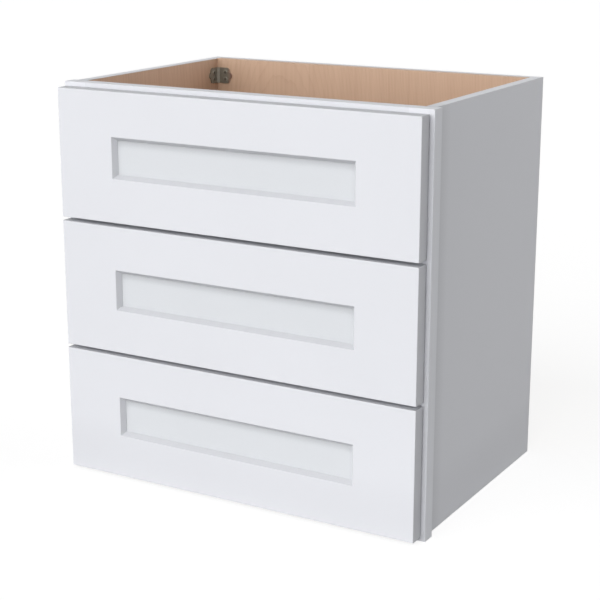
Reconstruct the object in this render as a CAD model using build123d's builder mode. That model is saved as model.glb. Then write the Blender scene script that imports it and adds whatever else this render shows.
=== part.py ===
from build123d import *
import os

# Vanity drawer base cabinet: a box of boards behind a face frame, with three
# full-overlay drawers on ball-bearing slides. The top is open for a vanity top.
# Millimetres. +Z is up, the fronts face -Y, and the origin is at the middle of
# the footprint, at the level of the bottom edges.

# Whole cabinet
cabinet_width = 609.6
cabinet_height = 609.6
carcass_depth = 406.4

# Boards of the carcass
side_thickness = 15.875
back_thickness = 12.7
bottom_thickness = 12.7
hanging_rail_thickness = 12.7
hanging_rail_height = 88.9
side_inset = 7.9375
housing_depth = 6.35
joint_clearance = 0.1

# Face frame
frame_thickness = 22.225
frame_stile_width = 38.1
frame_rail_width = 38.1
tenon_length = 12.7
tenon_thickness = 9.525
tenon_shoulder = 6.35
frame_edge_radius = 0.6

# Drawer fronts: stiles, rails and a flat panel, with a bevel round the panel
drawer_levels = ["lower", "middle", "upper"]
front_thickness = 22.225
front_reveal = 6.35
front_gap = 5.6
front_stile_face = 96.0
front_rail_face = 66.5
bevel_width = 5.6
bevel_depth = 7.5
recess_depth = 8.0
panel_thickness = 6.35
panel_groove_depth = 6.35
front_edge_radius = 1.0

# Rubber bumpers hold the closed fronts off the face frame
bumper_thickness = 3.175
bumper_radius = 5.0
bumper_edge_radius = 1.2
bumper_corner_distance = 12.0

# Drawer boxes, with dovetailed corners
box_board_thickness = 15.875
box_bottom_thickness = 6.35
box_bottom_height = 9.5
box_groove_depth = 6.35
box_foot_clearance = 12.7
box_head_clearance = 32.9
box_rear_space = 41.3
tail_count = 4
tail_flare = 2.8
box_edge_radius = 1.2

# Ball-bearing slides: three telescoping members on each side of a drawer
slide_thickness = 12.7
slide_height = 45.5
slide_setback = 2.0
slide_rear_clearance = 0.4
slide_steel = 1.2
slide_stop_height = 16.0
stop_clearance = 0.5
raceway_lip = 1.3
slide_hole_radius = 2.2
cage_steel = 0.6
cage_length = 150.0
balls_in_row = 8
outer_ball_radius = 2.2
inner_ball_radius = 1.8
ball_clearance = 0.3
stage_clearance = 0.3

# Posts that bring the slides flush with the inner edge of the face frame
post_width = 38.1
post_top_margin = 34.0

# Corner brackets, folded from steel
bracket_steel = 2.0
bracket_bend_radius = 3.0
bracket_height = 26.0
bracket_drop = 15.0
bracket_cross_leg = 26.0
bracket_side_leg = 21.5
bracket_corner_radius = 6.0
bracket_tab_radius = 6.0
bracket_tab_reach = 3.8
bracket_hole_inset = 7.2
bracket_hole_from_end = 8.5

# Screws
screw_radius = 2.0
screw_length = 12.0
screw_head_radius = 4.0
screw_head_height = 1.0
front_screw_length = 27.0
front_screw_edge = 25.0
front_screw_stile_inset = 20.0
screw_hole_radius = 2.2
pilot_radius = 2.05

# Places along Y, from the fronts to the back
overall_depth = carcass_depth + bumper_thickness + front_thickness
face_y = -overall_depth / 2
front_back_y = face_y + front_thickness
frame_y = front_back_y + bumper_thickness
frame_back_y = frame_y + frame_thickness
frame_middle_y = (frame_y + frame_back_y) / 2
back_y = overall_depth / 2
back_inside_y = back_y - back_thickness
hanging_rail_y = back_inside_y - hanging_rail_thickness

# Places along X, from the middle to the sides
half_width = cabinet_width / 2
frame_opening_x = half_width - frame_stile_width
side_outside_x = half_width - side_inset
side_inside_x = side_outside_x - side_thickness
housed_x = side_inside_x + housing_depth

# Places along Z
drawer_count = len(drawer_levels)
front_height = (
    cabinet_height - 2 * front_reveal - (drawer_count - 1) * front_gap
) / drawer_count
front_pitch = front_height + front_gap
front_floor_z = [front_reveal + level * front_pitch for level in range(drawer_count)]
mid_rail_z = [floor - front_gap / 2 for floor in front_floor_z[1:]]
bottom_top_z = frame_rail_width
bottom_under_z = bottom_top_z - bottom_thickness
opening_floor_z = [bottom_top_z] + [z + frame_rail_width / 2 for z in mid_rail_z]
opening_height = mid_rail_z[0] - frame_rail_width / 2 - bottom_top_z
frame_rail_z = {
    "frame_bottom_rail": frame_rail_width / 2,
    "frame_lower_mid_rail": mid_rail_z[0],
    "frame_upper_mid_rail": mid_rail_z[1],
    "frame_top_rail": cabinet_height - frame_rail_width / 2,
}

# Drawer fronts
front_half_width = half_width - front_reveal
stile_face_x = front_half_width - front_stile_face
stile_inner_x = stile_face_x - bevel_width
front_rail_width = front_rail_face + bevel_width
panel_y = (face_y + recess_depth, face_y + recess_depth + panel_thickness)
groove_back_y = panel_y[1] + joint_clearance

# Drawer boxes fill the width between the two slides
box_half_width = frame_opening_x - slide_thickness
box_inside_x = box_half_width - box_board_thickness
box_height = opening_height - box_foot_clearance - box_head_clearance
box_floor_z = [floor + box_foot_clearance for floor in opening_floor_z]
box_front_y = front_back_y
box_front_inside_y = box_front_y + box_board_thickness
box_back_y = back_inside_y - box_rear_space
box_back_inside_y = box_back_y - box_board_thickness
tail_pitch = box_height / tail_count

# Slides run from just behind the frame's face to the end of the drawer box
slide_front_y = frame_y + slide_setback
slide_back_y = box_back_y - slide_rear_clearance
slide_middle_y = (slide_front_y + slide_back_y) / 2
slide_z = [floor + box_height / 2 for floor in box_floor_z]
member_y = (slide_front_y, slide_back_y - slide_steel - stop_clearance)
cage_y = (slide_middle_y - cage_length / 2, slide_middle_y + cage_length / 2)
ball_spacing = cage_length / balls_in_row

# Distances inside a slide, measured in from its mounting plane
outer_cage_at = slide_steel + screw_head_height + stage_clearance
middle_at = outer_cage_at + cage_steel + stage_clearance
inner_cage_at = middle_at + slide_steel + stage_clearance
drawer_flange_at = inner_cage_at + cage_steel + stage_clearance
drawer_web_at = slide_thickness - slide_steel
flange_end = drawer_web_at - stage_clearance
outer_ball_at = (outer_cage_at + drawer_web_at) / 2
inner_ball_at = (drawer_flange_at + drawer_web_at) / 2

# Heights inside a slide, measured from its middle line
cabinet_inside = slide_height / 2 - slide_steel
outer_ball_height = cabinet_inside - ball_clearance - outer_ball_radius
middle_outside = outer_ball_height - outer_ball_radius - ball_clearance
middle_inside = middle_outside - slide_steel
inner_ball_height = middle_inside - ball_clearance - inner_ball_radius
drawer_outside = inner_ball_height - inner_ball_radius - ball_clearance

# Posts and the screws of the slides
post_y = [frame_back_y, slide_back_y - post_width]
post_middle_y = [y + post_width / 2 for y in post_y]
cabinet_screw_y = [frame_middle_y] + post_middle_y
drawer_screw_y = [member_y[0] + post_width, slide_middle_y, member_y[1] - post_width]
pilot_depth = screw_length - slide_steel

# Corner brackets
bracket_top_z = cabinet_height - bracket_drop
bracket_z = (bracket_top_z - bracket_height, bracket_top_z)
bracket_screw_z = [bracket_z[0] + bracket_hole_inset, bracket_z[1] - bracket_hole_inset]
bracket_side_screw_y = hanging_rail_y - bracket_side_leg + bracket_hole_from_end
bracket_cross_screw_x = side_inside_x - bracket_cross_leg + bracket_hole_from_end
bracket_pilot_depth = screw_length - bracket_steel


def save(piece, name):
    """Label a finished piece and write it to its own file."""
    piece.part.label = name
    export_step(piece.part, f"parts/{name}.step")


def sided(side, near, far):
    """A span along X between two distances from the middle, on side -1 or +1."""
    return (near, far) if side > 0 else (-far, -near)


def grown(span):
    """A span opened at both ends by the clearance of a glued joint."""
    return (span[0] - joint_clearance, span[1] + joint_clearance)


def slab(x_span, y_span, z_span, mode=Mode.ADD):
    """Add or cut a straight block between two limits along each axis."""
    low_corner = (x_span[0], y_span[0], z_span[0])
    sizes = [high - low for low, high in (x_span, y_span, z_span)]
    with Locations(low_corner):
        Box(*sizes, align=(Align.MIN, Align.MIN, Align.MIN), mode=mode)


def rod(point, direction, radius, length, mode=Mode.ADD):
    """Add or cut a round bar that starts at a point and runs along a direction."""
    with Locations(Plane(origin=point, z_dir=direction)):
        Cylinder(radius, length, align=(Align.CENTER, Align.CENTER, Align.MIN), mode=mode)


def screw(seat, direction, length):
    """A pan-head screw: its head seats at the point, its shank runs along direction."""
    with Locations(Plane(origin=seat, z_dir=direction)):
        Cylinder(screw_radius, length, align=(Align.CENTER, Align.CENTER, Align.MIN))
        Cylinder(
            screw_head_radius,
            screw_head_height,
            align=(Align.CENTER, Align.CENTER, Align.MAX),
        )


# Carcass boards
def make_side_panel(side, name):
    panel_span_y = (frame_back_y - housing_depth, back_y)
    housing_x = sided(side, side_inside_x - joint_clearance, housed_x + joint_clearance)
    with BuildPart() as panel:
        slab(sided(side, side_inside_x, side_outside_x), panel_span_y, (0, cabinet_height))
        slab(housing_x, panel_span_y, grown((bottom_under_z, bottom_top_z)), Mode.SUBTRACT)
        slab(
            housing_x,
            (back_inside_y - joint_clearance, back_y),
            (0, cabinet_height),
            Mode.SUBTRACT,
        )
        for z in bracket_screw_z:
            seat = (side * side_inside_x, bracket_side_screw_y, z)
            rod(seat, (side, 0, 0), pilot_radius, bracket_pilot_depth, Mode.SUBTRACT)
    save(panel, name)


def make_back_panel():
    with BuildPart() as panel:
        slab((-housed_x, housed_x), (back_inside_y, back_y), (0, cabinet_height))
    save(panel, "back_panel")


def make_hanging_rail():
    with BuildPart() as rail:
        slab(
            (-side_inside_x, side_inside_x),
            (hanging_rail_y, back_inside_y),
            (cabinet_height - hanging_rail_height, cabinet_height),
        )
        for side in (-1, 1):
            for z in bracket_screw_z:
                seat = (side * bracket_cross_screw_x, hanging_rail_y, z)
                rod(seat, (0, 1, 0), pilot_radius, bracket_pilot_depth, Mode.SUBTRACT)
    save(rail, "hanging_rail")


def make_bottom_panel():
    with BuildPart() as panel:
        slab(
            (-housed_x, housed_x),
            (frame_back_y, back_inside_y - joint_clearance),
            (bottom_under_z, bottom_top_z),
        )
    save(panel, "bottom_panel")


def make_slide_posts():
    """Four posts, two behind the face frame and two near the back."""
    with BuildPart() as posts:
        for side in (-1, 1):
            for y in post_y:
                slab(
                    sided(side, frame_opening_x, side_inside_x),
                    (y, y + post_width),
                    (bottom_top_z, slide_z[-1] + post_top_margin),
                )
            for y in post_middle_y:
                for z in slide_z:
                    seat = (side * frame_opening_x, y, z)
                    rod(seat, (side, 0, 0), pilot_radius, pilot_depth, Mode.SUBTRACT)
    save(posts, "slide_posts")


# Face frame: rails tenoned into stiles, and stiles grooved for the side panels
def tenon_z(rail_z):
    half = frame_rail_width / 2 - tenon_shoulder
    return (rail_z - half, rail_z + half)


tenon_y = (frame_middle_y - tenon_thickness / 2, frame_middle_y + tenon_thickness / 2)


def make_frame_stile(side, name):
    with BuildPart() as stile:
        slab(
            sided(side, frame_opening_x, half_width),
            (frame_y, frame_back_y),
            (0, cabinet_height),
        )
        upright_edges = stile.faces().sort_by(Axis.Y)[0].edges().filter_by(Axis.Z)
        fillet(upright_edges.sort_by(Axis.X)[side > 0], frame_edge_radius)
        slab(
            sided(side, side_inside_x - joint_clearance, side_outside_x + joint_clearance),
            (frame_back_y - housing_depth - joint_clearance, frame_back_y),
            (0, cabinet_height),
            Mode.SUBTRACT,
        )
        for rail_z in frame_rail_z.values():
            mortise_x = (frame_opening_x, frame_opening_x + tenon_length + joint_clearance)
            slab(sided(side, *mortise_x), grown(tenon_y), grown(tenon_z(rail_z)), Mode.SUBTRACT)
        for z in slide_z:
            seat = (side * frame_opening_x, frame_middle_y, z)
            rod(seat, (side, 0, 0), pilot_radius, pilot_depth, Mode.SUBTRACT)
    save(stile, name)


def make_frame_rail(name, rail_z):
    with BuildPart() as rail:
        slab(
            (-frame_opening_x, frame_opening_x),
            (frame_y, frame_back_y),
            (rail_z - frame_rail_width / 2, rail_z + frame_rail_width / 2),
        )
        tenon_end_x = frame_opening_x + tenon_length
        slab((-tenon_end_x, tenon_end_x), tenon_y, tenon_z(rail_z))
    save(rail, name)


# Corner brackets
def make_corner_bracket(side, name):
    """A folded angle in a back corner, with a round tab at the end of each leg."""
    cross_end_x = side_inside_x - bracket_cross_leg
    side_end_y = hanging_rail_y - bracket_side_leg
    inner_x = side_inside_x - bracket_steel
    inner_y = hanging_rail_y - bracket_steel
    with BuildPart() as bracket:
        with BuildSketch(Plane.XY.offset(bracket_z[0])):
            with BuildLine():
                Polyline(
                    (side * cross_end_x, hanging_rail_y),
                    (side * side_inside_x, hanging_rail_y),
                    (side * side_inside_x, side_end_y),
                    (side * inner_x, side_end_y),
                    (side * inner_x, inner_y),
                    (side * cross_end_x, inner_y),
                    close=True,
                )
            make_face()
        extrude(amount=bracket_height)
        upright_edges = bracket.edges().filter_by(Axis.Z)
        inner_bend = upright_edges.sort_by_distance((side * inner_x, inner_y, bracket_z[0]))
        outer_bend = upright_edges.sort_by_distance(
            (side * side_inside_x, hanging_rail_y, bracket_z[0])
        )
        fillet(inner_bend[0], bracket_bend_radius)
        fillet(outer_bend[0], bracket_bend_radius + bracket_steel)
        side_corners = bracket.faces().sort_by(Axis.Y)[0].edges().filter_by(Axis.X)
        cross_end = bracket.faces().filter_by(Axis.X).sort_by(Axis.X)[0 if side > 0 else -1]
        fillet(side_corners + cross_end.edges().filter_by(Axis.Y), bracket_corner_radius)
        tab_inset = bracket_tab_radius - bracket_tab_reach
        tab_z = (bracket_z[0] + bracket_z[1]) / 2
        cross_tab = (side * (cross_end_x + tab_inset), hanging_rail_y, tab_z)
        side_tab = (side * side_inside_x, side_end_y + tab_inset, tab_z)
        rod(cross_tab, (0, -1, 0), bracket_tab_radius, bracket_steel)
        rod(side_tab, (-side, 0, 0), bracket_tab_radius, bracket_steel)
        for z in bracket_screw_z:
            side_hole = (side * side_inside_x, bracket_side_screw_y, z)
            cross_hole = (side * bracket_cross_screw_x, hanging_rail_y, z)
            rod(side_hole, (-side, 0, 0), screw_hole_radius, bracket_steel, Mode.SUBTRACT)
            rod(cross_hole, (0, -1, 0), screw_hole_radius, bracket_steel, Mode.SUBTRACT)
    save(bracket, name)


def make_cabinet_screws():
    """Screws of the corner brackets and of the slides' cabinet members."""
    with BuildPart() as screws:
        for side in (-1, 1):
            for z in bracket_screw_z:
                side_seat = (side * (side_inside_x - bracket_steel), bracket_side_screw_y, z)
                cross_seat = (side * bracket_cross_screw_x, hanging_rail_y - bracket_steel, z)
                screw(side_seat, (side, 0, 0), screw_length)
                screw(cross_seat, (0, 1, 0), screw_length)
            for z in slide_z:
                for y in cabinet_screw_y:
                    seat = (side * (frame_opening_x - slide_steel), y, z)
                    screw(seat, (side, 0, 0), screw_length)
    save(screws, "cabinet_screws")


# Drawer fronts
def make_front_stiles(level, name):
    with BuildPart() as stiles:
        with BuildSketch(Plane.XY.offset(front_floor_z[level])):
            with BuildLine():
                Polyline(
                    (front_half_width, face_y),
                    (stile_face_x, face_y),
                    (stile_inner_x, face_y + bevel_depth),
                    (stile_inner_x, panel_y[0]),
                    (stile_inner_x + panel_groove_depth, panel_y[0]),
                    (stile_inner_x + panel_groove_depth, groove_back_y),
                    (stile_inner_x, groove_back_y),
                    (stile_inner_x, front_back_y),
                    (front_half_width, front_back_y),
                    close=True,
                )
            make_face()
        extrude(amount=front_height)
        face_edges = stiles.faces().sort_by(Axis.Y)[0].edges().sort_by(Axis.X)
        fillet(face_edges[1:], front_edge_radius)
        for x, y, z in front_screw_seats(level):
            if x > 0:
                pilot_length = front_screw_length - box_board_thickness
                rod((x, front_back_y, z), (0, -1, 0), pilot_radius, pilot_length, Mode.SUBTRACT)
        mirror(about=Plane.YZ)
    save(stiles, name)


def make_front_rails(level, name):
    floor = front_floor_z[level]
    inner_z = floor + front_rail_width
    with BuildPart() as rails:
        with BuildSketch(Plane.YZ.offset(-stile_face_x)):
            with BuildLine():
                Polyline(
                    (face_y, floor),
                    (face_y, floor + front_rail_face),
                    (face_y + bevel_depth, inner_z),
                    (panel_y[0], inner_z),
                    (panel_y[0], inner_z - panel_groove_depth),
                    (groove_back_y, inner_z - panel_groove_depth),
                    (groove_back_y, inner_z),
                    (front_back_y, inner_z),
                    (front_back_y, floor),
                    close=True,
                )
            make_face()
        extrude(amount=2 * stile_face_x)
        face_edges = rails.faces().sort_by(Axis.Y)[0].edges().filter_by(Axis.X)
        fillet(face_edges.sort_by(Axis.Z)[0], front_edge_radius)
        with BuildSketch(Plane.XY.offset(floor)):
            for side in (-1, 1):
                with BuildLine():
                    Polyline(
                        (side * stile_face_x, face_y),
                        (side * stile_inner_x, face_y + bevel_depth),
                        (side * stile_inner_x, front_back_y),
                        (side * stile_face_x, front_back_y),
                        close=True,
                    )
                make_face()
        extrude(amount=front_rail_width, mode=Mode.SUBTRACT)
        tongue_end_x = stile_inner_x + panel_groove_depth - joint_clearance
        tongue_top_z = inner_z - panel_groove_depth - joint_clearance
        slab((-tongue_end_x, tongue_end_x), panel_y, (floor, tongue_top_z))
        mirror(about=Plane.XY.offset(floor + front_height / 2))
    save(rails, name)


def make_front_panel(level, name):
    housed = panel_groove_depth - joint_clearance
    panel_end_x = stile_inner_x + housed
    floor = front_floor_z[level]
    panel_z = (
        floor + front_rail_width - housed,
        floor + front_height - front_rail_width + housed,
    )
    with BuildPart() as panel:
        slab((-panel_end_x, panel_end_x), panel_y, panel_z)
    save(panel, name)


def make_bumpers(level, name):
    """Four bumpers stuck on the back of a drawer front, one near each corner."""
    x = front_half_width - bumper_corner_distance
    floor = front_floor_z[level]
    heights = [floor + bumper_corner_distance, floor + front_height - bumper_corner_distance]
    with BuildPart() as bumpers:
        for side in (-1, 1):
            for z in heights:
                rod((side * x, front_back_y, z), (0, 1, 0), bumper_radius, bumper_thickness)
        round_edges = bumpers.edges().filter_by(GeomType.CIRCLE).group_by(Axis.Y)[-1]
        fillet(round_edges, bumper_edge_radius)
    save(bumpers, name)


# Drawer boxes
def front_screw_seats(level):
    """Screws from inside the box front into the stiles of the drawer front."""
    x = stile_inner_x + front_screw_stile_inset
    floor = box_floor_z[level]
    heights = [floor + front_screw_edge, floor + box_height - front_screw_edge]
    return [(side * x, box_front_inside_y, z) for side in (-1, 1) for z in heights]


def tails(side, root_y, end_y, floor, mode):
    """Add or cut the dovetails at one end of a box side; each widens to its end."""
    root_half = tail_pitch / 4
    end_half = root_half + tail_flare
    near_x, far_x = sided(side, box_inside_x, box_half_width)
    with BuildSketch(Plane.YZ.offset(near_x)) as outline:
        for tail in range(tail_count):
            middle = floor + (tail + 0.5) * tail_pitch
            with BuildLine():
                Polyline(
                    (root_y, middle - root_half),
                    (end_y, middle - end_half),
                    (end_y, middle + end_half),
                    (root_y, middle + root_half),
                    close=True,
                )
            make_face()
    extrude(outline.sketch, amount=far_x - near_x, mode=mode)


def cut_bottom_groove(floor):
    """Cut the groove that holds the box bottom out of whichever board is in hand."""
    reach = box_inside_x + box_groove_depth
    under = floor + box_bottom_height
    slab(
        (-reach, reach),
        (box_front_inside_y - box_groove_depth, box_back_inside_y + box_groove_depth),
        grown((under, under + box_bottom_thickness)),
        Mode.SUBTRACT,
    )


def make_box_end(level, name, y_span, root_y, end_y, screw_seats):
    floor = box_floor_z[level]
    with BuildPart() as board:
        slab((-box_half_width, box_half_width), y_span, (floor, floor + box_height))
        top_edges = board.edges().filter_by(Axis.X).group_by(Axis.Z)[-1]
        fillet(top_edges, box_edge_radius)
        for side in (-1, 1):
            tails(side, root_y, end_y, floor, Mode.SUBTRACT)
        cut_bottom_groove(floor)
        for seat in screw_seats:
            rod(seat, (0, -1, 0), screw_hole_radius, box_board_thickness, Mode.SUBTRACT)
    save(board, name)


def make_box_side(side, level, name):
    floor = box_floor_z[level]
    with BuildPart() as board:
        slab(
            sided(side, box_inside_x, box_half_width),
            (box_front_inside_y, box_back_inside_y),
            (floor, floor + box_height),
        )
        top_edges = board.edges().filter_by(Axis.Y).group_by(Axis.Z)[-1]
        fillet(top_edges, box_edge_radius)
        tails(side, box_front_inside_y, box_front_y, floor, Mode.ADD)
        tails(side, box_back_inside_y, box_back_y, floor, Mode.ADD)
        cut_bottom_groove(floor)
        for y in drawer_screw_y:
            seat = (side * box_half_width, y, slide_z[level])
            rod(seat, (-side, 0, 0), pilot_radius, pilot_depth, Mode.SUBTRACT)
    save(board, name)


def make_box_bottom(level, name):
    reach = box_inside_x + box_groove_depth - joint_clearance
    housed = box_groove_depth - joint_clearance
    under = box_floor_z[level] + box_bottom_height
    with BuildPart() as panel:
        slab(
            (-reach, reach),
            (box_front_inside_y - housed, box_back_inside_y + housed),
            (under, under + box_bottom_thickness),
        )
    save(panel, name)


def make_drawer_screws(level, name):
    """Screws that hold the front on the box, and the slide members on its sides."""
    with BuildPart() as screws:
        for seat in front_screw_seats(level):
            screw(seat, (0, -1, 0), front_screw_length)
        for side in (-1, 1):
            for y in drawer_screw_y:
                seat = (side * (box_half_width + slide_steel), y, slide_z[level])
                screw(seat, (-side, 0, 0), screw_length)
    save(screws, name)


# Slides
def slide_strip(side, at_span, y_span, z_span):
    """Add a strip of slide steel, with its span measured in from the mounting plane."""
    x_span = sided(side, frame_opening_x - at_span[1], frame_opening_x - at_span[0])
    slab(x_span, y_span, z_span)


def channel(side, web_span, flange_span, inside, outside, y_span, middle_z):
    """Add a channel: an upright web with a flange along its top and its bottom."""
    slide_strip(side, web_span, y_span, (middle_z - outside, middle_z + outside))
    slide_strip(side, flange_span, y_span, (middle_z + inside, middle_z + outside))
    slide_strip(side, flange_span, y_span, (middle_z - outside, middle_z - inside))


def raceway_lips(side, low, high, y_span, middle_z):
    """Add the lips along the free edges of a channel's flanges."""
    lip_span = (flange_end - slide_steel, flange_end)
    slide_strip(side, lip_span, y_span, (middle_z + low, middle_z + high))
    slide_strip(side, lip_span, y_span, (middle_z - high, middle_z - low))


def make_cabinet_members(level, name):
    middle_z = slide_z[level]
    y_span = (slide_front_y, slide_back_y)
    outside = slide_height / 2
    with BuildPart() as members:
        for side in (-1, 1):
            channel(
                side, (0, slide_steel), (0, flange_end), cabinet_inside, outside, y_span, middle_z
            )
            raceway_lips(side, cabinet_inside - raceway_lip, cabinet_inside, y_span, middle_z)
            slide_strip(
                side,
                (0, flange_end),
                (slide_back_y - slide_steel, slide_back_y),
                (middle_z - slide_stop_height / 2, middle_z + slide_stop_height / 2),
            )
            for y in cabinet_screw_y:
                hole = (side * frame_opening_x, y, middle_z)
                rod(hole, (-side, 0, 0), slide_hole_radius, slide_steel, Mode.SUBTRACT)
    save(members, name)


def make_middle_members(level, name):
    middle_z = slide_z[level]
    web_span = (middle_at, middle_at + slide_steel)
    flange_span = (middle_at, flange_end)
    with BuildPart() as members:
        for side in (-1, 1):
            channel(
                side, web_span, flange_span, middle_inside, middle_outside, member_y, middle_z
            )
            lip_top = middle_outside + raceway_lip
            raceway_lips(side, middle_outside, lip_top, member_y, middle_z)
    save(members, name)


def make_drawer_members(level, name):
    middle_z = slide_z[level]
    web_span = (drawer_web_at, slide_thickness)
    flange_span = (drawer_flange_at, slide_thickness)
    inside = drawer_outside - slide_steel
    with BuildPart() as members:
        for side in (-1, 1):
            channel(side, web_span, flange_span, inside, drawer_outside, member_y, middle_z)
            for y in drawer_screw_y:
                hole = (side * box_half_width, y, middle_z)
                rod(hole, (side, 0, 0), slide_hole_radius, slide_steel, Mode.SUBTRACT)
    save(members, name)


def make_ball_cages(level, name, cage_at, ball_at, ball_height, ball_radius):
    """Bent steel strips that each carry a row of balls along both raceways."""
    middle_z = slide_z[level]
    web_span = (cage_at, cage_at + cage_steel)
    leg_span = (cage_at, ball_at + ball_radius)
    inside = ball_height - cage_steel / 2
    outside = ball_height + cage_steel / 2
    first_ball_y = slide_middle_y - (balls_in_row - 1) / 2 * ball_spacing
    with BuildPart() as cages:
        for side in (-1, 1):
            channel(side, web_span, leg_span, inside, outside, cage_y, middle_z)
            ball_x = side * (frame_opening_x - ball_at)
            ball_places = [
                (ball_x, first_ball_y + ball * ball_spacing, middle_z + row * ball_height)
                for ball in range(balls_in_row)
                for row in (-1, 1)
            ]
            with Locations(*ball_places):
                Sphere(ball_radius)
    save(cages, name)


os.makedirs("parts", exist_ok=True)

make_side_panel(-1, "side_panel_left")
make_side_panel(1, "side_panel_right")
make_back_panel()
make_hanging_rail()
make_bottom_panel()
make_slide_posts()
make_frame_stile(-1, "frame_stile_left")
make_frame_stile(1, "frame_stile_right")
for rail_name, rail_middle_z in frame_rail_z.items():
    make_frame_rail(rail_name, rail_middle_z)
make_corner_bracket(-1, "corner_bracket_left")
make_corner_bracket(1, "corner_bracket_right")
make_cabinet_screws()

for level, level_name in enumerate(drawer_levels):
    drawer = f"{level_name}_drawer"
    slide = f"{level_name}_slide"
    make_front_stiles(level, f"{drawer}_front_stiles")
    make_front_rails(level, f"{drawer}_front_rails")
    make_front_panel(level, f"{drawer}_front_panel")
    make_bumpers(level, f"{drawer}_bumpers")
    make_box_end(
        level,
        f"{drawer}_box_front",
        (box_front_y, box_front_inside_y),
        box_front_inside_y,
        box_front_y,
        front_screw_seats(level),
    )
    make_box_end(
        level,
        f"{drawer}_box_back",
        (box_back_inside_y, box_back_y),
        box_back_inside_y,
        box_back_y,
        [],
    )
    make_box_side(-1, level, f"{drawer}_box_side_left")
    make_box_side(1, level, f"{drawer}_box_side_right")
    make_box_bottom(level, f"{drawer}_box_bottom")
    make_drawer_screws(level, f"{drawer}_screws")
    make_cabinet_members(level, f"{slide}_cabinet_members")
    make_middle_members(level, f"{slide}_middle_members")
    make_drawer_members(level, f"{slide}_drawer_members")
    make_ball_cages(
        level,
        f"{slide}_outer_ball_cages",
        outer_cage_at,
        outer_ball_at,
        outer_ball_height,
        outer_ball_radius,
    )
    make_ball_cages(
        level,
        f"{slide}_inner_ball_cages",
        inner_cage_at,
        inner_ball_at,
        inner_ball_height,
        inner_ball_radius,
    )
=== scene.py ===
import math

import bmesh
import bpy
from mathutils import Matrix, Vector


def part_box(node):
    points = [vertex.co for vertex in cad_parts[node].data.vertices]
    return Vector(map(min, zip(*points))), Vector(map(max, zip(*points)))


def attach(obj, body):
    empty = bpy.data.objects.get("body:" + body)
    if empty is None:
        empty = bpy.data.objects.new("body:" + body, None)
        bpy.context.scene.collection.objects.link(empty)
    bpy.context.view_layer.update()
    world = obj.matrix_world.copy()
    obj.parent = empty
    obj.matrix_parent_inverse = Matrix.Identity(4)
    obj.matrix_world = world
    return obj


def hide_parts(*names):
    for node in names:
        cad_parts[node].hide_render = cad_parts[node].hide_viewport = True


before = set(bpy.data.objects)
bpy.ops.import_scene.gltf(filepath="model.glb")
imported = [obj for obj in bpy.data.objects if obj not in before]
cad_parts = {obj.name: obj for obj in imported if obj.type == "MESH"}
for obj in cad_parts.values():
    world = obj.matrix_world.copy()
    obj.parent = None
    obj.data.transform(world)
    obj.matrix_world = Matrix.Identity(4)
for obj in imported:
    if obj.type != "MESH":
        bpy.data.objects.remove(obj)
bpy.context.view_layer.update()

# Drawers, from the floor up
drawer_levels = ["lower", "middle", "upper"]

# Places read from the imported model, in metres
cabinet_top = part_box("frame_top_rail")[1].z
side_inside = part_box("side_panel_right")[0].x
side_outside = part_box("side_panel_right")[1].x
back_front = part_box("back_panel")[0].y
rail_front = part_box("hanging_rail")[0].y
frame_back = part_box("frame_stile_right")[1].y
bracket_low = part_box("corner_bracket_left")[0].z
tab_start = -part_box("corner_bracket_left")[1].x

# Finishes, as linear colours
paint_white = (0.790, 0.800, 0.840)
# The front panels' white: the paint made darker, partly its own tone and partly painted shade
panel_paint_shaded = (0.727, 0.747, 0.777)
maple_pale = (0.640, 0.425, 0.295)
maple_dark = (0.470, 0.285, 0.180)
# The back's maple is darker than the rest, partly its own tone and partly painted shade
back_maple_pale_shaded = (0.545, 0.378, 0.268)
back_maple_dark_shaded = (0.405, 0.260, 0.170)
# The side panels' maple is paler than the rest, partly its own tone and partly painted light
side_maple_pale_lit = (0.745, 0.535, 0.400)
side_maple_dark_lit = (0.560, 0.365, 0.250)
maple_end = (0.420, 0.250, 0.150)
ply_long = (0.600, 0.410, 0.270)
ply_end = (0.360, 0.215, 0.125)
bracket_olive = (0.150, 0.132, 0.102)
bracket_worn = (0.200, 0.182, 0.142)
bracket_brown = (0.200, 0.122, 0.092)
# Painted highlight along the brackets' fold
fold_highlight = (0.480, 0.450, 0.410)
zinc_pale = (0.640, 0.645, 0.650)
zinc_dark = (0.500, 0.505, 0.515)
zinc_yellow = (0.600, 0.560, 0.450)
bright_steel = (0.720, 0.725, 0.730)
rubber_clear = (0.860, 0.880, 0.880)
plain_white = (1.0, 1.0, 1.0)

# Roughness, from the glossiest spots of a finish to its dullest
paint_roughness = (0.42, 0.50)
board_roughness = (0.38, 0.50)
level_board_roughness = (0.36, 0.48)
solid_maple_roughness = (0.34, 0.46)
slide_roughness = (0.26, 0.42)
ball_roughness = (0.10, 0.22)
bracket_roughness = (0.42, 0.58)
screw_roughness = (0.24, 0.40)
rubber_roughness = (0.22, 0.34)

# Depth of the fine relief, in metres
paint_relief_depth = 0.00002
wood_relief_depth = 0.00003
rolled_relief_depth = 0.00001
bracket_relief_depth = 0.00003

# Noise: waves per metre, and detail
plain_noise_roughness = 0.5
paint_cloud = (5.0, 3.0)
paint_speck = (420.0, 2.0)
orange_peel = (900.0, 1.0)
end_pores = (1400.0, 2.0)
slide_cloud = (45.0, 3.0)
ball_smear = (160.0, 3.0)
bracket_cloud = (170.0, 4.0)
bracket_grit = (1500.0, 2.0)
screw_cloud = (320.0, 3.0)
rubber_cloud = (260.0, 2.0)

# Noise that runs along a board or a slide: waves per metre across it and along it, detail
# and roughness
wood_sway = (9.0, 3.0, 3.0, 0.5)
uneven_rings = (60.0, 4.0, 2.0, 0.5)
wood_fibres = (1500.0, 18.0, 3.0, 0.6)
wood_streaks = (260.0, 2.5, 3.0, 0.55)
board_tone = (22.0, 1.2, 2.0, 0.5)
rolling_lines = (2600.0, 22.0, 2.0, 0.5)

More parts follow.
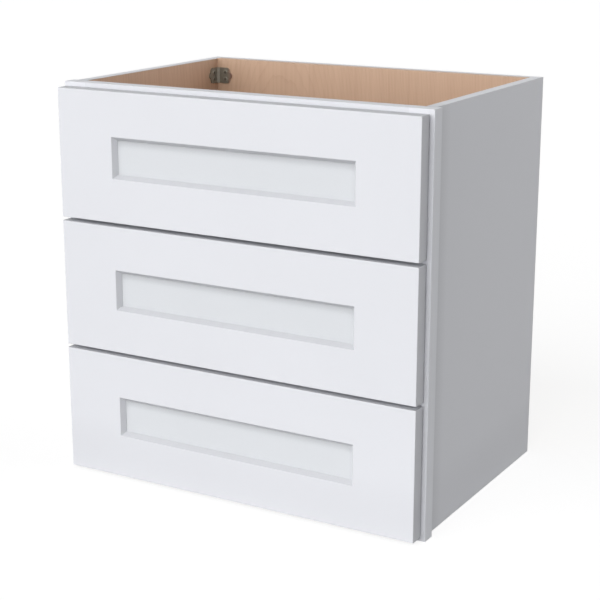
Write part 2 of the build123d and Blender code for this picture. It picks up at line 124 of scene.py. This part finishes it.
# Noise lies about its middle, and most of it in a span. A finish is spread over that span.
noise_middle = 0.5
noise_span = (0.3, 0.7)
speck_span = (0.2, 0.8)
pore_span = (0.35, 0.65)
bracket_cloud_span = (0.35, 0.75)
screw_cloud_span = (0.35, 0.65)

# Satin paint: its gloss, its tones, and how far and how much painted shade darkens it in inside
# corners
paint_gloss = 0.35
cloud_tones = (0.985, 1.0)
speck_tones = (0.99, 1.0)
corner_reach = 0.1
openness_samples = 8
corner_span = (0.5, 1.0)
corner_shade_tone = 0.82
# Painted shade in the frame's corners: none on the stiles, some on the rails
stile_corner_shade_tone = 1.0
rail_corner_shade_tone = 0.93
# Painted light: the stiles' faces that look sideways are lighter by this
frame_side_light_tone = 1.05

# Between these, a face goes from lying in a gap to lying open
gap_span = (0.25, 0.55)

# The front panels are darker by a painted shadow close under the edge above them. What
# counts there is what stands over a face towards the sky and the front.
ledge_shadow_tone = 0.77
ledge_reach = 0.017
ledge_span = (0.30, 0.72)
skyward = (0.0, -0.5, 0.87)

# The side panels' paint is darker by a painted shadow in a band behind the proud stiles
stile_shadow_tone = 0.84
stile_shadow_width = 0.045

# Drawer fronts: painted shade on their edges, and on edges and bevels that look up
front_edge_shade_tone = 0.84
front_top_shade_tone = 0.84
edge_span = (0.25, 0.5)
top_span = (0.0, 0.8)

# The paint ends this near an edge, and one finish goes over into the next this far to
# both sides of the place where they meet
paint_margin = 0.0006
finish_change = 0.0002

# How a maple board is cut from its log: where the log's heart lies across the board and
# into it, the width of a growth ring, and how far the heart leans per metre of board
side_cut = ((0.31, 0.25), 0.0036, 0.06)
back_cut = ((-0.155, rail_front + 0.085), 0.0042, -0.13)
level_cut = ((0.04, -0.06), 0.0036, 0.08)
post_cut = ((0.05, 0.32), 0.0034, 0.05)
box_end_cut = ((0.08, -0.26), 0.0034, 0.05)
box_side_cut = ((0.10, 0.20), 0.0034, 0.05)

# Maple: how far its rings sway, how sharp the late wood is, and how dark each layer makes it
sway_width = 0.020
late_wood_sharpness = 5.0
late_wood_weight = 0.26
fibre_weight = 0.48
streak_weight = 0.80
board_tone_weight = 0.50
least_darkness = 0.12

# End grain: where a face starts to count as an end, how softly, and how dark its pores are
end_start = 0.75
end_softness = 0.1
pore_share = 0.5

# Side panels are plywood with this many plies
side_plies = 9

# The brackets' sheet: a painted highlight where the fold ends on the leg across the back,
# browner plating near that leg's tab, and painted light on the side leg by the last factors.
bracket_steel = 0.002
bracket_metallic = 0.25
fold_end = 0.0032
fold_line = (0.0001, 0.0006)
tab_brown_span = (tab_start + 0.002, tab_start + 0.008)
tab_brown_share = 0.9
side_leg_light = (2.10, 2.25, 2.50)

# Clear rubber
rubber_bend = 1.45
rubber_clearness = 0.55
rubber_tones = (0.94, 1.0)


# Building blocks of the finishes
def add_node(tree, kind, settings=None, **values):
    """A node with its settings, and values or links for its inputs."""
    node = tree.nodes.new(kind)
    for key, value in (settings or {}).items():
        setattr(node, key, value)
    for key, value in values.items():
        plug(tree, node.inputs[key.replace("_", " ")], value)
    return node


def plug(tree, socket, value):
    """Link a socket, or set its own value."""
    if isinstance(value, bpy.types.NodeSocket):
        tree.links.new(value, socket)
    elif hasattr(value, "__len__") and len(value) == 3 and len(socket.default_value) == 4:
        socket.default_value = (*value, 1.0)
    else:
        socket.default_value = value


def calc(tree, operation, first, second=0.0):
    """A calculation with one or two values."""
    node = tree.nodes.new("ShaderNodeMath")
    node.operation = operation
    plug(tree, node.inputs[0], first)
    plug(tree, node.inputs[1], second)
    return node.outputs[0]


def blend_colours(tree, share, first, second, way="MIX"):
    """A mix of two colours. The node's sockets for colours are 6 and 7, and 2 comes out."""
    node = tree.nodes.new("ShaderNodeMix")
    node.data_type = "RGBA"
    node.blend_type = way
    plug(tree, node.inputs[0], share)
    plug(tree, node.inputs[6], first)
    plug(tree, node.inputs[7], second)
    return node.outputs[2]


def blend_numbers(tree, share, first, second):
    """A mix of two numbers."""
    node = tree.nodes.new("ShaderNodeMix")
    plug(tree, node.inputs[0], share)
    plug(tree, node.inputs[2], first)
    plug(tree, node.inputs[3], second)
    return node.outputs[0]


def remap(tree, value, span, new_span=(0.0, 1.0)):
    """A value's place in a span, moved to the same place in a new span and held inside it."""
    node = tree.nodes.new("ShaderNodeMapRange")
    for index, number in enumerate((value, *span, *new_span)):
        plug(tree, node.inputs[index], number)
    return node.outputs[0]


def fade(tree, value, span):
    """A share that goes from 1 to 0 as a value crosses a span."""
    return remap(tree, value, span, (1.0, 0.0))


def above(tree, value, limit, soft=finish_change):
    """A share that goes from 0 to 1 as a value passes a limit."""
    return remap(tree, value, (limit - soft, limit + soft))


def noise(tree, place, scale, detail, roughness=plain_noise_roughness):
    """A cloudy pattern of numbers."""
    node = add_node(
        tree, "ShaderNodeTexNoise", Vector=place, Scale=scale, Detail=detail, Roughness=roughness
    )
    return node.outputs[0]


def vector_of(tree, x, y, z):
    """Three numbers as one vector, which also does as a grey or a colour."""
    return add_node(tree, "ShaderNodeCombineXYZ", X=x, Y=y, Z=z).outputs[0]


def stretched(tree, place, x, y, z):
    """Coordinates with each axis scaled by itself."""
    node = add_node(tree, "ShaderNodeMapping", Vector=place)
    node.inputs["Scale"].default_value = (x, y, z)
    return node.outputs[0]


def toned(tree, colour, tone):
    """A colour, darker by a tone below 1."""
    return blend_colours(tree, 1.0, colour, vector_of(tree, tone, tone, tone), "MULTIPLY")


def toned_where(tree, colour, share, tone):
    """A colour that takes a tone as far as a share says."""
    return toned(tree, colour, remap(tree, share, (0.0, 1.0), (1.0, tone)))


def object_place(tree):
    """The piece's own coordinates, whole and as three numbers."""
    whole = add_node(tree, "ShaderNodeTexCoord").outputs["Object"]
    return whole, add_node(tree, "ShaderNodeSeparateXYZ", Vector=whole).outputs


def facing(tree, axis, either_way=True):
    """How squarely a face looks along an axis: either way from 0 to 1, or with its sign."""
    normal = add_node(tree, "ShaderNodeTexCoord").outputs["Normal"]
    part = add_node(tree, "ShaderNodeSeparateXYZ", Vector=normal).outputs["XYZ".index(axis)]
    return calc(tree, "ABSOLUTE", part) if either_way else part


def openness_within(tree, reach, **values):
    """1 where nothing stands within reach of a face, and less where something does."""
    node = add_node(
        tree,
        "ShaderNodeAmbientOcclusion",
        {"samples": openness_samples},
        Distance=reach,
        **values,
    )
    return node.outputs["AO"]


def new_finish(name, **values):
    """A material with one shader. Numbers that hold all over go on its own sockets."""
    material = bpy.data.materials.new(name)
    material.use_nodes = True
    tree = material.node_tree
    tree.nodes.clear()
    shader = add_node(tree, "ShaderNodeBsdfPrincipled", **values)
    add_node(tree, "ShaderNodeOutputMaterial", Surface=shader.outputs[0])
    return material, tree, shader


def cover(tree, shader, colour, roughness):
    """Give a shader its colour and roughness."""
    plug(tree, shader.inputs["Base Color"], colour)
    plug(tree, shader.inputs["Roughness"], roughness)


def add_bump(tree, shader, height, depth):
    """Fine relief, with its depth in metres."""
    bump = add_node(tree, "ShaderNodeBump", Height=height, Distance=depth, Strength=1.0)
    tree.links.new(bump.outputs[0], shader.inputs["Normal"])


# White paint
def corner_openness(tree, height):
    """1 where a face lies open, less in gaps and inside corners. The floor doesn't count."""
    openness = openness_within(tree, corner_reach)
    near_floor = fade(tree, height, (0.0, corner_reach))
    closed = calc(tree, "SUBTRACT", 1.0, openness)
    return calc(tree, "ADD", openness, calc(tree, "MULTIPLY", closed, near_floor))


def paint_layer(tree, place, openness, paint=paint_white, deep_shade_tone=corner_shade_tone):
    """Colour, roughness and relief of a sprayed satin paint, with painted shade in inside corners.
    """
    cloud = noise(tree, place, *paint_cloud)
    speckle = noise(tree, place, *paint_speck)
    tone = remap(tree, cloud, noise_span, cloud_tones)
    tone = calc(tree, "MULTIPLY", tone, remap(tree, speckle, speck_span, speck_tones))
    # Painted shade: the paint is darker in inside corners and gaps
    shade_in_corners = remap(tree, openness, corner_span, (deep_shade_tone, 1.0))
    colour = toned(tree, paint, calc(tree, "MULTIPLY", tone, shade_in_corners))
    roughness = remap(tree, cloud, noise_span, paint_roughness)
    return colour, roughness, noise(tree, place, *orange_peel)


def painted_wood(
    name,
    paint=paint_white,
    deep_shade_tone=corner_shade_tone,
    edge_shade_tone=None,
    top_shade_tone=None,
    side_light_tone=None,
    under_shadow_tone=None,
):
    """Painted wood with painted shade in corners. Edges, tops and what lies under a ledge may get
    painted shade, sides painted light.
    """
    material, tree, shader = new_finish(name)
    shader.inputs["Specular IOR Level"].default_value = paint_gloss
    place, parts = object_place(tree)
    openness = corner_openness(tree, parts[2])
    colour, roughness, relief = paint_layer(tree, place, openness, paint, deep_shade_tone)
    out_of_gaps = remap(tree, openness, gap_span)
    # Painted shade on edges and on faces that look up, but not in gaps
    if edge_shade_tone is not None:
        at_edge = fade(tree, facing(tree, "Y"), edge_span)
        at_edge = calc(tree, "MULTIPLY", at_edge, out_of_gaps)
        colour = toned_where(tree, colour, at_edge, edge_shade_tone)
    if top_shade_tone is not None:
        upward = remap(tree, facing(tree, "Z", either_way=False), top_span)
        upward = calc(tree, "MULTIPLY", upward, out_of_gaps)
        colour = toned_where(tree, colour, upward, top_shade_tone)
    # Painted shadow close under a ledge, from what stands over a face towards the sky
    if under_shadow_tone is not None:
        normal = vector_of(tree, *skyward)
        free_above = openness_within(tree, ledge_reach, Normal=normal)
        colour = toned(tree, colour, remap(tree, free_above, ledge_span, (under_shadow_tone, 1.0)))
    # Painted light: faces that look sideways are made lighter
    if side_light_tone is not None:
        colour = toned_where(tree, colour, facing(tree, "X"), side_light_tone)
    cover(tree, shader, colour, roughness)
    add_bump(tree, shader, relief, paint_relief_depth)
    return material


# Maple, as veneer and as solid wood
def along_noise(tree, place, across, along, detail, roughness):
    """Noise with its own scales across and along a board, whose length is the third axis."""
    return noise(tree, stretched(tree, place, across, across, along), 1.0, detail, roughness)


def maple_layer(tree, along, across, cut, tones=(maple_pale, maple_dark)):
    """Maple with its grain along one axis of the piece, cut from its log in one way.

    The heart leans against the board, so the growth rings come out as tall arches over it
    and as straight lines to both sides.
    """
    heart, ring_width, lean = cut
    depth = ({"X", "Y", "Z"} - {along, across}).pop()
    _, parts = object_place(tree)
    u, v, w = (parts["XYZ".index(axis)] for axis in (across, depth, along))
    place = vector_of(tree, u, v, w)
    sway = calc(tree, "SUBTRACT", along_noise(tree, place, *wood_sway), noise_middle)
    sway = calc(tree, "MULTIPLY", sway, sway_width)
    from_heart = calc(tree, "ADD", calc(tree, "SUBTRACT", u, heart[0]), sway)
    below_heart = calc(tree, "SUBTRACT", v, heart[1])
    below_heart = calc(tree, "ADD", below_heart, calc(tree, "MULTIPLY", w, lean))
    square = calc(
        tree,
        "ADD",
        calc(tree, "POWER", calc(tree, "ABSOLUTE", from_heart), 2.0),
        calc(tree, "POWER", calc(tree, "ABSOLUTE", below_heart), 2.0),
    )
    turns = calc(tree, "DIVIDE", calc(tree, "SQRT", square), ring_width)
    turns = calc(tree, "ADD", turns, along_noise(tree, place, *uneven_rings))
    late_wood = calc(tree, "POWER", calc(tree, "FRACT", turns), late_wood_sharpness)
    fibres = along_noise(tree, place, *wood_fibres)
    layers = (
        (fibres, fibre_weight),
        (along_noise(tree, place, *wood_streaks), streak_weight),
        (along_noise(tree, place, *board_tone), board_tone_weight),
    )
    dark = calc(tree, "MULTIPLY", late_wood, late_wood_weight)
    for layer, weight in layers:
        part = calc(tree, "SUBTRACT", layer, noise_middle)
        part = calc(tree, "MULTIPLY", part, weight)
        dark = calc(tree, "ADD", dark, part)
    dark = calc(tree, "ADD", dark, least_darkness)
    held = tree.nodes.new("ShaderNodeClamp")
    plug(tree, held.inputs[0], dark)
    colour = blend_colours(tree, held.outputs[0], *tones)
    relief = calc(tree, "ADD", fibres, late_wood)
    return colour, relief, fibres


def ply_layer(tree, across, start, thickness, plies):
    """The edge of a plywood board: plies that show their length and their ends in turn."""
    _, parts = object_place(tree)
    distance = calc(tree, "ABSOLUTE", parts["XYZ".index(across)])
    count = calc(tree, "DIVIDE", calc(tree, "SUBTRACT", distance, start), thickness / plies)
    odd = calc(tree, "MODULO", calc(tree, "FLOOR", count), 2.0)
    return blend_colours(tree, odd, ply_long, ply_end)


def part_painted(tree, shader, painted, paint_parts, wood_parts):
    """Give a shader paint where it is painted, and wood elsewhere."""
    paint, rough_paint, paint_relief = paint_parts
    wood, wood_relief, fibres = wood_parts
    rough_wood = remap(tree, fibres, noise_span, board_roughness)
    colour = blend_colours(tree, painted, wood, paint)
    cover(tree, shader, colour, blend_numbers(tree, painted, rough_wood, rough_paint))
    relief = blend_numbers(tree, painted, wood_relief, paint_relief)
    add_bump(tree, shader, relief, wood_relief_depth)


def side_board():
    """Side panels: white outside and on the top edge, maple inside, plies at the raw edges."""
    material, tree, shader = new_finish("white_outside_maple_inside")
    shader.inputs["Specular IOR Level"].default_value = paint_gloss
    place, parts = object_place(tree)
    distance = calc(tree, "ABSOLUTE", parts[0])
    outside = above(tree, distance, side_outside - paint_margin)
    top = above(tree, parts[2], cabinet_top - paint_margin)
    painted = calc(tree, "MAXIMUM", outside, top)
    openness = corner_openness(tree, parts[2])
    paint, rough_paint, paint_relief = paint_layer(tree, place, openness)
    # Painted shadow: the paint darkens in a band behind the proud stiles
    band = (frame_back, frame_back + stile_shadow_width)
    paint = toned(tree, paint, remap(tree, parts[1], band, (stile_shadow_tone, 1.0)))
    # The inside maple's paler tones are partly painted light
    tones = (side_maple_pale_lit, side_maple_dark_lit)
    wood, wood_relief, fibres = maple_layer(tree, "Z", "Y", side_cut, tones)
    plies = ply_layer(tree, "X", side_inside, side_outside - side_inside, side_plies)
    inside = calc(tree, "SUBTRACT", 1.0, above(tree, distance, side_inside + paint_margin))
    wood = blend_colours(tree, inside, plies, wood)
    paint_parts = (paint, rough_paint, paint_relief)
    part_painted(tree, shader, painted, paint_parts, (wood, wood_relief, fibres))
    return material


def upright_veneer():
    """Back panel and hanging rail: maple with upright grain. The panel's top edge is white."""
    material, tree, shader = new_finish("maple_veneer_upright")
    place, parts = object_place(tree)
    top = above(tree, parts[2], cabinet_top - paint_margin)
    top = calc(tree, "MULTIPLY", top, above(tree, parts[1], back_front))
    paint_parts = paint_layer(tree, place, corner_openness(tree, parts[2]))
    # The darker maple tones here are partly painted shade
    tones = (back_maple_pale_shaded, back_maple_dark_shaded)
    part_painted(tree, shader, top, paint_parts, maple_layer(tree, "Z", "X", back_cut, tones))
    return material


def level_veneer():
    """Cabinet bottom and drawer bottoms: maple with its grain from side to side."""
    material, tree, shader = new_finish("maple_veneer_level")
    wood, relief, fibres = maple_layer(tree, "X", "Y", level_cut)
    cover(tree, shader, wood, remap(tree, fibres, noise_span, level_board_roughness))
    add_bump(tree, shader, relief, wood_relief_depth)
    return material


def solid_maple(name, along, across, cut):
    """A clear-coated maple board. Faces across the grain show darker end grain."""
    material, tree, shader = new_finish(name)
    wood, relief, fibres = maple_layer(tree, along, across, cut)
    place, _ = object_place(tree)
    pores = remap(tree, noise(tree, place, *end_pores), pore_span, (0.0, pore_share))
    end_grain = blend_colours(tree, pores, maple_end, maple_dark)
    at_end = above(tree, facing(tree, along), end_start, end_softness)
    colour = blend_colours(tree, at_end, wood, end_grain)
    cover(tree, shader, colour, remap(tree, fibres, noise_span, solid_maple_roughness))
    add_bump(tree, shader, relief, wood_relief_depth)
    return material


# Metal and rubber
def slide_steel():
    """Zinc-plated steel, rolled along the slide."""
    material, tree, shader = new_finish("zinc_plated_slide_steel", Metallic=1.0)
    place, _ = object_place(tree)
    across, along, detail, roughness = rolling_lines
    rolled = stretched(tree, place, across, along, across)
    rolled = noise(tree, rolled, 1.0, detail, roughness)
    cloud = noise(tree, place, *slide_cloud)
    share = blend_numbers(tree, 0.5, rolled, cloud)
    colour = blend_colours(tree, share, zinc_dark, zinc_pale)
    cover(tree, shader, colour, remap(tree, share, noise_span, slide_roughness))
    add_bump(tree, shader, rolled, rolled_relief_depth)
    return material


def ball_steel():
    """Bright steel of the balls and their cages, slightly smeared."""
    material, tree, shader = new_finish("bright_ball_steel", Metallic=1.0)
    place, _ = object_place(tree)
    smear = noise(tree, place, *ball_smear)
    colour = blend_colours(tree, smear, zinc_pale, bright_steel)
    cover(tree, shader, colour, remap(tree, smear, noise_span, ball_roughness))
    return material


def bracket_finish():
    """Olive-grey plating, cloudy and brown at the tab; painted highlight at the fold, painted light
    on the side leg.
    """
    material, tree, shader = new_finish("olive_grey_bracket", Metallic=bracket_metallic)
    place, parts = object_place(tree)
    cloud = noise(tree, place, *bracket_cloud)
    grit = noise(tree, place, *bracket_grit)
    share = remap(tree, cloud, bracket_cloud_span)
    colour = blend_colours(tree, share, bracket_olive, bracket_worn)
    distance = calc(tree, "ABSOLUTE", parts[0])
    at_tab = remap(tree, distance, tab_brown_span, (tab_brown_share, 0.0))
    colour = blend_colours(tree, at_tab, colour, bracket_brown)
    # Painted highlight: a bright line where the fold ends on the leg across the back
    from_side = calc(tree, "SUBTRACT", side_inside - bracket_steel, distance)
    off_fold = calc(tree, "ABSOLUTE", calc(tree, "SUBTRACT", from_side, fold_end))
    colour = blend_colours(tree, fade(tree, off_fold, fold_line), colour, fold_highlight)
    # Painted light: faces that look along x, the side leg, are made paler
    side_leg = blend_colours(tree, 1.0, colour, side_leg_light, "MULTIPLY")
    colour = blend_colours(tree, facing(tree, "X"), colour, side_leg)
    cover(tree, shader, colour, remap(tree, grit, noise_span, bracket_roughness))
    add_bump(tree, shader, grit, bracket_relief_depth)
    return material


def screw_finish():
    """Zinc plating with a slight yellow cast in places."""
    material, tree, shader = new_finish("zinc_plated_screw", Metallic=1.0)
    place, _ = object_place(tree)
    cloud = noise(tree, place, *screw_cloud)
    share = remap(tree, cloud, screw_cloud_span)
    colour = blend_colours(tree, share, zinc_yellow, zinc_pale)
    cover(tree, shader, colour, remap(tree, cloud, noise_span, screw_roughness))
    return material


def rubber():
    """Clear soft rubber of the bumpers."""
    material, tree, shader = new_finish("clear_soft_rubber", IOR=rubber_bend)
    shader.inputs["Transmission Weight"].default_value = rubber_clearness
    place, _ = object_place(tree)
    cloud = noise(tree, place, *rubber_cloud)
    colour = toned(tree, rubber_clear, remap(tree, cloud, noise_span, rubber_tones))
    cover(tree, shader, colour, remap(tree, cloud, noise_span, rubber_roughness))
    return material


def dress(node_names, material):
    """Give CAD nodes a finish by their material slots."""
    for name in node_names:
        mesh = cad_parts[name].data
        if not mesh.materials:
            mesh.materials.append(material)
        for index in range(len(mesh.materials)):
            mesh.materials[index] = material


def of_levels(*endings):
    """Names of the pieces that each drawer has."""
    return [f"{level}_{ending}" for level in drawer_levels for ending in endings]


frame_stiles = ["frame_stile_left", "frame_stile_right"]
frame_rails = [
    "frame_bottom_rail",
    "frame_lower_mid_rail",
    "frame_upper_mid_rail",
    "frame_top_rail",
]
# The stiles and rails have one white paint; they differ only in painted shade and painted light
stile_paint = painted_wood(
    "satin_white_stile_paint", deep_shade_tone=stile_corner_shade_tone, side_light_tone=frame_side_light_tone
)
rail_paint = painted_wood("satin_white_rail_paint", deep_shade_tone=rail_corner_shade_tone)
# The drawer fronts' paint has painted shade on its edges and on what looks up
front_paint = painted_wood(
    "satin_white_front_paint", edge_shade_tone=front_edge_shade_tone, top_shade_tone=front_top_shade_tone
)
dress(frame_stiles, stile_paint)
dress(frame_rails, rail_paint)
dress(of_levels("drawer_front_stiles", "drawer_front_rails"), front_paint)
# The front panels: a white that is partly painted shade, and a painted shadow under the ledge
dress(
    of_levels("drawer_front_panel"),
    painted_wood("satin_white_panel_paint", panel_paint_shaded, under_shadow_tone=ledge_shadow_tone),
)
dress(["side_panel_left", "side_panel_right"], side_board())
dress(["back_panel", "hanging_rail"], upright_veneer())
dress(["bottom_panel"] + of_levels("drawer_box_bottom"), level_veneer())
dress(["slide_posts"], solid_maple("solid_maple_upright", "Z", "Y", post_cut))
dress(
    of_levels("drawer_box_front", "drawer_box_back"),
    solid_maple("solid_maple_crosswise", "X", "Z", box_end_cut),
)
dress(
    of_levels("drawer_box_side_left", "drawer_box_side_right"),
    solid_maple("solid_maple_lengthwise", "Y", "Z", box_side_cut),
)
bracket_metal = bracket_finish()
screw_metal = screw_finish()
dress(["corner_bracket_left", "corner_bracket_right"], bracket_metal)
dress(["cabinet_screws"] + of_levels("drawer_screws"), screw_metal)
dress(
    of_levels("slide_cabinet_members", "slide_middle_members", "slide_drawer_members"),
    slide_steel(),
)
dress(of_levels("slide_outer_ball_cages", "slide_inner_ball_cages"), ball_steel())
dress(of_levels("drawer_bumpers"), rubber())


# Screws with a domed head and a cross recess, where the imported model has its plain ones
screw_sides = 24
weld = 0.00001

# How a plain screw is read: its rim lies beyond this share of its greatest radius, and its
# tip beyond this share of its length from the middle
rim_share = 0.9
tip_from_middle = 0.4

# The tip's end, as a share of the shank's radius, and its length in shank radii
tip_end_share = 0.3
tip_length_share = 1.4

# The domed head's outline, as shares of its radius and height
head_outline = ((1.0, 0.0), (1.0, 0.30), (0.95, 0.55), (0.84, 0.80), (0.68, 1.0))

# The cross recess: its arms as shares of the head's radius, how much it narrows towards its
# floor, and its depth as a share of the head's height
cross_arm_share = 0.52
cross_half_width_share = 0.13
cross_narrowing = 0.72
cross_depth_share = 0.9

# Edges that turn by more than this many degrees stay sharp
sharp_turn = 40.0


def make_mesh(name, shape):
    """A mesh from an edited shape, which is let go."""
    mesh = bpy.data.meshes.new(name)
    shape.to_mesh(mesh)
    shape.free()
    return mesh


def add_object(name, data):
    """A new object in the scene."""
    item = bpy.data.objects.new(name, data)
    bpy.context.scene.collection.objects.link(item)
    return item


def loose_solids(node_name):
    """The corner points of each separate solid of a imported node, in the same order every run."""
    shape = bmesh.new()
    shape.from_mesh(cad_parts[node_name].data)
    bmesh.ops.remove_doubles(shape, verts=shape.verts, dist=weld)
    waiting = dict.fromkeys(shape.verts)
    solids = []
    while waiting:
        points = []
        queue = [waiting.popitem()[0]]
        while queue:
            corner = queue.pop()
            points.append(corner.co.copy())
            for edge in corner.link_edges:
                other = edge.other_vert(corner)
                if other in waiting:
                    del waiting[other]
                    queue.append(other)
        solids.append(points)
    shape.free()
    return solids


def screw_place(points):
    """The middle of a plain screw's seat, the way its head faces, and its sizes."""
    low = Vector([min(point[i] for point in points) for i in range(3)])
    high = Vector([max(point[i] for point in points) for i in range(3)])
    middle = (low + high) / 2
    size = high - low
    length = max(size)
    axis = list(size).index(length)
    along = Vector([float(i == axis) for i in range(3)])

    def off_axis(point):
        offset = point - middle
        return (offset - along * offset.dot(along)).length

    head_radius = max(off_axis(point) for point in points)
    rim = [point.dot(along) for point in points if off_axis(point) > rim_share * head_radius]
    if sum(rim) / len(rim) < middle.dot(along):
        along = -along
        rim = [-height for height in rim]
    head_height = max(rim) - min(rim)
    tip_start = middle.dot(along) - length * tip_from_middle
    shank_radius = max(off_axis(point) for point in points if point.dot(along) < tip_start)
    seat = middle + along * (length / 2 - head_height)
    return seat, along, (head_radius, head_height, shank_radius, length - head_height)


def ring(shape, radius, height):
    """A round edge loop of a screw."""
    made = bmesh.ops.create_circle(
        shape, segments=screw_sides, radius=radius, matrix=Matrix.Translation((0.0, 0.0, height))
    )
    return list(dict.fromkeys(edge for vert in made["verts"] for edge in vert.link_edges))


def cross_outline(shape, arm, half_width, height):
    """The edge loop of a cross, its arms along x and y."""
    corners = []
    for turn in range(4):
        spin = Matrix.Rotation(turn * math.pi / 2, 3, "Z")
        for x, y in ((arm, -half_width), (arm, half_width), (half_width, half_width)):
            corners.append(shape.verts.new(spin @ Vector((x, y, 0.0)) + Vector((0.0, 0.0, height))))
    return [shape.edges.new((corners[i - 1], corners[i])) for i in range(len(corners))]


def screw_mesh(head_radius, head_height, shank_radius, shank_length):
    """One screw, its seat at the origin and its head upwards."""
    shape = bmesh.new()
    outline = [
        (shank_radius * tip_end_share, -shank_length),
        (shank_radius, -shank_length + shank_radius * tip_length_share),
        (shank_radius, 0.0),
    ]
    outline += [(head_radius * out, head_height * up) for out, up in head_outline]
    loops = [ring(shape, radius, height) for radius, height in outline]
    bmesh.ops.contextual_create(shape, geom=loops[0])
    for lower, upper in zip(loops, loops[1:]):
        bmesh.ops.bridge_loops(shape, edges=lower + upper)
    arm = head_radius * cross_arm_share
    half_width = head_radius * cross_half_width_share
    cross = cross_outline(shape, arm, half_width, head_height)
    bmesh.ops.bridge_loops(shape, edges=loops[-1] + cross)
    arm, half_width = arm * cross_narrowing, half_width * cross_narrowing
    sunk_height = head_height - cross_depth_share * head_height
    cross_floor = cross_outline(shape, arm, half_width, sunk_height)
    bmesh.ops.bridge_loops(shape, edges=cross + cross_floor)
    bmesh.ops.contextual_create(shape, geom=cross_floor)
    bmesh.ops.recalc_face_normals(shape, faces=shape.faces)
    for face in shape.faces:
        face.smooth = True
    return make_mesh("one_screw", shape)


def make_screws(name, seats, body, replaced, metal):
    """Screws at their seats, as one piece that rides on a body."""
    whole = bmesh.new()
    for seat, outward, sizes in seats:
        one = screw_mesh(*sizes)
        turn = outward.to_track_quat("Z", "Y").to_matrix().to_4x4()
        one.transform(Matrix.Translation(seat) @ turn)
        whole.from_mesh(one)
        bpy.data.meshes.remove(one)
    mesh = make_mesh(name, whole)
    mesh.set_sharp_from_angle(angle=math.radians(sharp_turn))
    mesh.materials.append(metal)
    piece = add_object(name, mesh)
    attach(piece, body)
    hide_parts(replaced)


cabinet_seats = [screw_place(points) for points in loose_solids("cabinet_screws")]
bracket_seats = [seat for seat in cabinet_seats if seat[0].z > bracket_low]
slide_seats = [seat for seat in cabinet_seats if seat[0].z < bracket_low]
make_screws("bracket_cross_screws", bracket_seats, "cabinet", "cabinet_screws", bracket_metal)
make_screws("slide_cross_screws", slide_seats, "cabinet", "cabinet_screws", screw_metal)
for level in drawer_levels:
    drawer_seats = [screw_place(points) for points in loose_solids(f"{level}_drawer_screws")]
    make_screws(
        f"{level}_drawer_cross_screws",
        drawer_seats,
        f"{level}_drawer",
        f"{level}_drawer_screws",
        screw_metal,
    )


# Floor, light and camera
floor_radius = 60.0
floor_sides = 96
floor_white = 0.32
floor_seen = 0.25
floor_glow = 0.85
sky_strength = 0.06
backdrop_strength = 1.0

# Lamps: strength, spread in degrees, and the direction that the light comes from
key_lamp = (4.36, 90.0, (-0.20, -0.92, 0.24))
back_lamp = (1.10, 60.0, (0.68, 0.66, 0.32))

camera_place = (1.1211, -1.9553, 0.8807)
camera_turn = 30.0117
camera_dip = 15.242
camera_roll = -0.018
focal_pixels = 1493.13
image_pixels = 600
sensor_width = 36.0
seen_distance = 200.0


def seen_rays(tree):
    """1 for rays from the camera, and for those that metal or glass sends on."""
    rays = add_node(tree, "ShaderNodeLightPath").outputs
    share = calc(tree, "MAXIMUM", rays["Is Camera Ray"], rays["Is Glossy Ray"])
    return calc(tree, "MAXIMUM", share, rays["Is Transmission Ray"])


def seen_or_hidden(tree, seen, hidden):
    """A shader for the rays that are seen, and another for all others."""
    pick = add_node(tree, "ShaderNodeMixShader", Fac=seen_rays(tree))
    tree.links.new(hidden.outputs[0], pick.inputs[1])
    tree.links.new(seen.outputs[0], pick.inputs[2])
    return pick.outputs[0]


def make_floor():
    """A pale round floor that looks white and keeps the shadow."""
    shape = bmesh.new()
    bmesh.ops.create_circle(shape, cap_ends=True, segments=floor_sides, radius=floor_radius)
    mesh = make_mesh("studio_floor", shape)
    floor = add_object("studio_floor", mesh)
    material = bpy.data.materials.new("studio_floor_white")
    material.use_nodes = True
    tree = material.node_tree
    tree.nodes.clear()
    hidden = add_node(tree, "ShaderNodeBsdfDiffuse", Color=(floor_white,) * 3)
    shaded = add_node(tree, "ShaderNodeBsdfDiffuse", Color=(floor_seen,) * 3)
    glow = add_node(tree, "ShaderNodeEmission", Color=plain_white, Strength=floor_glow)
    both = tree.nodes.new("ShaderNodeAddShader")
    tree.links.new(shaded.outputs[0], both.inputs[0])
    tree.links.new(glow.outputs[0], both.inputs[1])
    surface = seen_or_hidden(tree, both, hidden)
    add_node(tree, "ShaderNodeOutputMaterial", Surface=surface)
    mesh.materials.append(material)


def make_sky():
    """An even sky that lights at a plain level and looks white."""
    world = bpy.data.worlds.new("studio_sky")
    world.use_nodes = True
    tree = world.node_tree
    tree.nodes.clear()
    light = add_node(tree, "ShaderNodeBackground", Color=plain_white, Strength=sky_strength)
    backdrop = add_node(
        tree, "ShaderNodeBackground", Color=plain_white, Strength=backdrop_strength
    )
    surface = seen_or_hidden(tree, backdrop, light)
    add_node(tree, "ShaderNodeOutputWorld", Surface=surface)
    bpy.context.scene.world = world


def make_lamp(name, strength, spread, direction):
    """A broad soft lamp, far away."""
    lamp = bpy.data.lights.new(name, "SUN")
    lamp.energy = strength
    lamp.angle = math.radians(spread)
    light = add_object(name, lamp)
    light.rotation_euler = Vector(direction).to_track_quat("Z", "Y").to_euler()


def make_camera():
    """The camera, where the photo's camera stood."""
    lens = bpy.data.cameras.new("photo_camera")
    lens.sensor_width = sensor_width
    lens.lens = focal_pixels / image_pixels * sensor_width
    lens.clip_end = seen_distance
    camera = add_object("photo_camera", lens)
    camera.location = camera_place
    camera.rotation_euler = (
        math.radians(90.0 - camera_dip),
        math.radians(camera_roll),
        math.radians(camera_turn),
    )
    bpy.context.scene.camera = camera


make_floor()
make_sky()
make_lamp("key_lamp", *key_lamp)
make_lamp("back_lamp", *back_lamp)
make_camera()
bpy.context.scene.view_settings.view_transform = "Standard"
